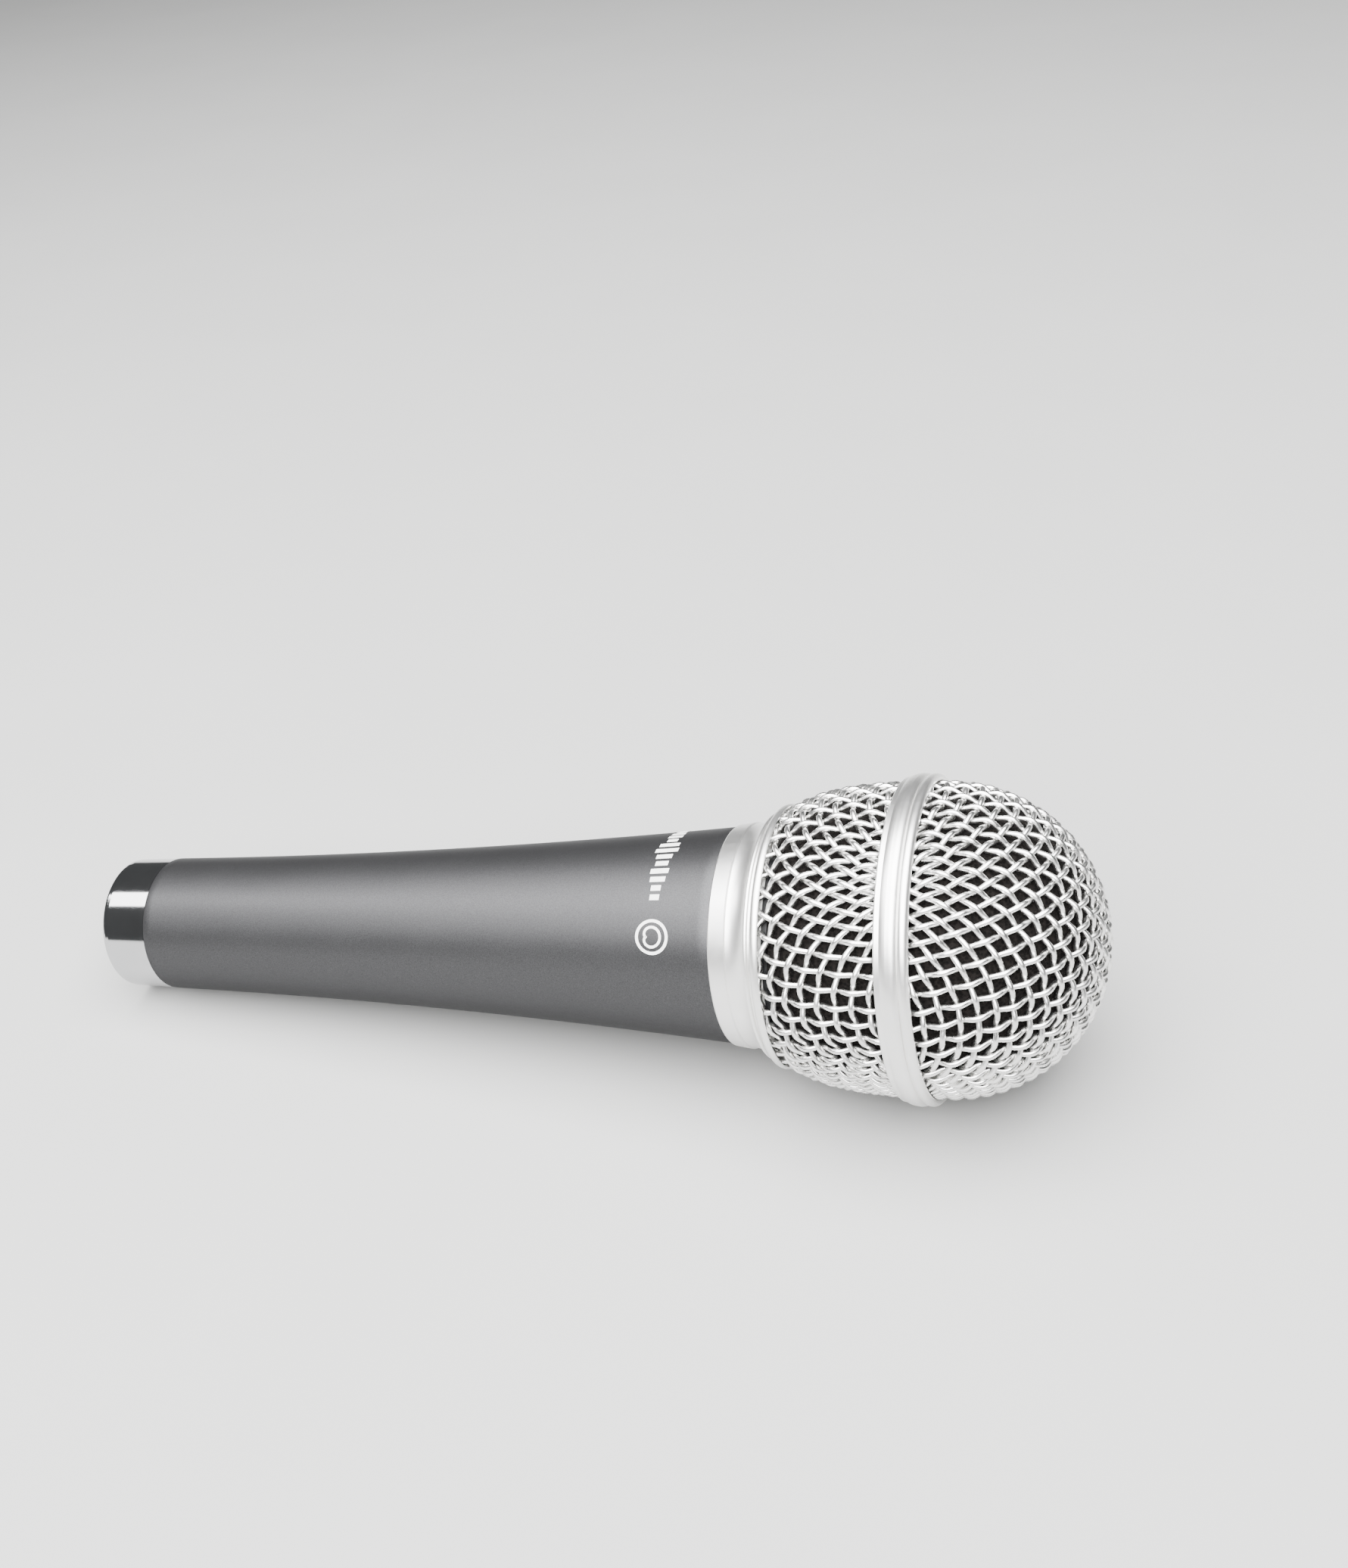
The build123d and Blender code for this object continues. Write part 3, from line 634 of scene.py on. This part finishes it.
def thread_cut(turn, height):
    """Depth of the thread at a place on the spigot: right-handed, 1 mm a turn, faded at its ends."""
    low, high = THREAD
    fade = max(min((height - low) / THREAD_FADE, (high - height) / THREAD_FADE, 1.0), 0.0)
    return fade * THREAD_DEPTH / 2 * (1 - math.cos(2 * math.pi * height - turn))


def handle_profile():
    """Radius and height of each row, once round the wall: side, shoulder, thread, mouth and bores."""
    low, high = SCREW_HEIGHT - WINDOW, SCREW_HEIGHT + WINDOW
    window = list(np.linspace(low, high, WINDOW_ROWS))
    below = np.linspace(HANDLE_END + EDGE, low, 4)[:3]
    above = np.linspace(high + WINDOW, SHOULDER - EDGE, SIDE_ROWS)
    soft = 0.3 * EDGE
    return [
        (handle_radius(HANDLE_END) - EDGE, HANDLE_END),
        (handle_radius(HANDLE_END + soft) - soft, HANDLE_END + soft),
        *((handle_radius(z), z) for z in (*below, *window, *above)),
        (handle_radius(SHOULDER - soft) - soft, SHOULDER - soft),
        (handle_radius(SHOULDER) - EDGE, SHOULDER),
        (SPIGOT, SHOULDER),
        *((SPIGOT, z) for z in np.linspace(*THREAD, THREAD_ROWS)),
        (SPIGOT, SPIGOT_TOP - SPIGOT_EDGE),
        (SPIGOT - SPIGOT_EDGE, SPIGOT_TOP),
        (MOUTH, SPIGOT_TOP),
        (MOUTH, MOUTH_END),
        (BORE, MOUTH_END),
        (BORE, BORE_END),
        (SLEEVE, SLEEVE_END),
        *((SLEEVE, z) for z in reversed(window)),
        (SLEEVE, HANDLE_END),
    ]


def screw_ring(loop, radius, surface, sunk=0.0):
    """Points round the screw's hole on a surface of revolution, one for each place of the loop."""
    ring = []
    for x, _, z in loop:
        way = math.atan2(z - SCREW_HEIGHT, x)
        across, height = radius * math.cos(way), SCREW_HEIGHT + radius * math.sin(way)
        ring.append((across, sunk - math.sqrt(surface(height) ** 2 - across**2), height))
    return ring


def window_rim(rows):
    """Points round the window that is left out of these rows, in order."""
    first, last = SCREW_COLUMN - WINDOW_COLUMNS, SCREW_COLUMN + WINDOW_COLUMNS
    rim = [rows[0] * COLUMNS + k for k in range(first, last)]
    rim += [row * COLUMNS + last for row in rows[:-1]]
    rim += [rows[-1] * COLUMNS + k for k in range(last, first, -1)]
    rim += [row * COLUMNS + first for row in rows[:0:-1]]
    return rim


def make_handle():
    """The handle as in the solids, with its thread cut and the edge of the grub screw's hole broken."""
    profile = handle_profile()
    points, faces = [], []
    for radius, height in profile:
        for k in range(COLUMNS):
            turn = 2 * math.pi * k / COLUMNS
            r = radius - thread_cut(turn, height) if radius == SPIGOT else radius
            points.append((r * math.cos(turn), r * math.sin(turn), height))

    def beside_screw(row):
        return abs(profile[row][1] - SCREW_HEIGHT) < WINDOW + 1e-6

    for row in range(len(profile)):
        after = (row + 1) % len(profile)
        cut = beside_screw(row) and beside_screw(after)
        for k in range(COLUMNS):
            if cut and -WINDOW_COLUMNS <= k - SCREW_COLUMN < WINDOW_COLUMNS:
                continue
            n = (k + 1) % COLUMNS
            faces.append((row * COLUMNS + k, row * COLUMNS + n, after * COLUMNS + n, after * COLUMNS + k))

    mouth = profile.index((MOUTH, SPIGOT_TOP))
    beside = [row for row in range(len(profile)) if beside_screw(row)]
    outer_rim = window_rim([row for row in beside if row < mouth])
    inner_rim = window_rim([row for row in reversed(beside) if row > mouth])
    loop = [points[v] for v in outer_rim]
    rings = [outer_rim]
    for circle in (
        screw_ring(loop, SCREW_HOLE + SCREW_EDGE, handle_radius),
        screw_ring(loop, SCREW_HOLE, handle_radius, SCREW_EDGE),
        screw_ring(loop, SCREW_HOLE, lambda height: SLEEVE),
    ):
        rings.append(range(len(points), len(points) + len(circle)))
        points += circle
    rings.append(inner_rim)
    for one, two in zip(rings, rings[1:]):
        join_rings(one, two, faces)
    obj = add_mesh("threaded_handle", points, faces)
    obj.data.set_sharp_from_angle(angle=math.radians(40))
    return obj


handle = make_handle()
dress(handle, handle_finish())
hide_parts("handle")
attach(handle, "microphone")

# ---------------------------------------------------------------- printed marks
MARK_RADIUS = handle_radius(MARK_HEIGHT)


def ink(strips, name):
    """Thin closed pads of ink on the handle. A strip is a list of pairs of (way round, height) points."""
    points, faces = [], []
    for strip in strips:
        first = len(points)
        for around, height in itertools.chain.from_iterable(strip):
            turn = around / MARK_RADIUS
            for lift in (INK_PROUD, -INK_SUNK):
                r = handle_radius(height) + lift
                points.append((r * math.cos(turn), r * math.sin(turn), height))
        end = first + 4 * (len(strip) - 1)
        for a in range(first, end, 4):
            b = a + 4
            faces += [(a, a + 2, b + 2, b), (a + 1, b + 1, b + 3, a + 3)]
            faces += [(a, b, b + 1, a + 1), (a + 2, a + 3, b + 3, b + 2)]
        if strip[0] != strip[-1]:
            faces += [(first, first + 1, first + 3, first + 2), (end, end + 2, end + 3, end + 1)]
    return add_mesh(name, points, faces, smooth=False)


def bar(around, length):
    """An upright bar, as a strip for ink."""
    left, right = around - BAR_WIDTH / 2, around + BAR_WIDTH / 2
    return [[(side, MARK_HEIGHT + rise) for side in (left, right)] for rise in (-length / 2, 0.0, length / 2)]


def ribbon(curve, centre, width):
    """A line of even width along a closed curve round the centre, as a strip for ink."""
    strip = []
    count = len(curve)
    for k in range(count + 1):
        here = np.array(curve[k % count])
        way = np.array(curve[(k + 1) % count]) - np.array(curve[(k - 1) % count])
        side = np.array([-way[1], way[0]]) / max(np.hypot(*way), 1e-9) * width / 2
        strip.append([tuple(centre + here - side), tuple(centre + here + side)])
    return strip


bars = []
for k in range(BARS):
    swell = 0.38 + 0.62 * abs(math.sin(k * 0.83 + 0.9) * math.cos(k * 0.29 + 0.4))
    bars.append(bar(math.radians(BARS_FROM + k * BARS_STEP) * MARK_RADIUS, BAR_LENGTH * swell))
badge = np.array([BADGE_TURN * MARK_RADIUS, MARK_HEIGHT])
angles = np.linspace(0, 2 * math.pi, BADGE_POINTS, endpoint=False)
ring = [(RING_RADIUS * math.cos(a), RING_RADIUS * math.sin(a)) for a in angles]
heart = []
for a in angles:
    reach = HEART_SIZE * (1 + math.cos(a))
    heart.append((reach * math.sin(a), reach * math.cos(a) - HEART_SHIFT))
marks = ink([*bars, ribbon(ring, badge, RING_WIDTH), ribbon(heart, badge, HEART_WIDTH)], "printed_marks")
dress(marks, moulded("white_ink_finish", (0.80, 0.80, 0.79), 0.45, 0.15, 0.004))
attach(marks, "microphone")


# ---------------------------------------------------------------- studio
def make_floor():
    mesh = bpy.data.meshes.new("floor")
    corners = [(x * FLOOR_REACH, y * FLOOR_REACH, 0) for x, y in ((-1, -1), (1, -1), (1, 1), (-1, 1))]
    mesh.from_pydata(corners, [], [(0, 1, 2, 3)])
    obj = bpy.data.objects.new("floor", mesh)
    bpy.context.collection.objects.link(obj)
    dress(obj, floor_finish())


def make_light(name, place, target, size, power):
    data = bpy.data.lights.new(name, "AREA")
    data.shape = "RECTANGLE"
    data.size, data.size_y = size
    data.energy = power
    obj = bpy.data.objects.new(name, data)
    obj.location = place
    obj.rotation_euler = (Vector(target) - Vector(place)).to_track_quat("-Z", "Y").to_euler()
    bpy.context.collection.objects.link(obj)


def make_world():
    world = bpy.data.worlds.new("studio")
    world.use_nodes = True
    background = world.node_tree.nodes["Background"]
    background.inputs["Color"].default_value = (0.96, 0.98, 1.0, 1)
    background.inputs["Strength"].default_value = WORLD_STRENGTH
    bpy.context.scene.world = world


def make_camera():
    data = bpy.data.cameras.new("camera")
    data.sensor_width = PICTURE_HEIGHT  # of the taller side
    data.lens = LENS
    data.clip_start = 0.01
    obj = bpy.data.objects.new("camera", data)
    bpy.context.collection.objects.link(obj)
    level = CAMERA_WAY.normalized().to_track_quat("-Z", "Y").to_matrix().to_4x4()
    roll = Matrix.Rotation(-math.radians(CAMERA_ROLL), 4, "Z")
    obj.matrix_world = Matrix.Translation(CAMERA_PLACE) @ level @ roll
    bpy.context.scene.camera = obj


make_floor()
make_world()
for light in LIGHTS:
    make_light(*light)
make_camera()
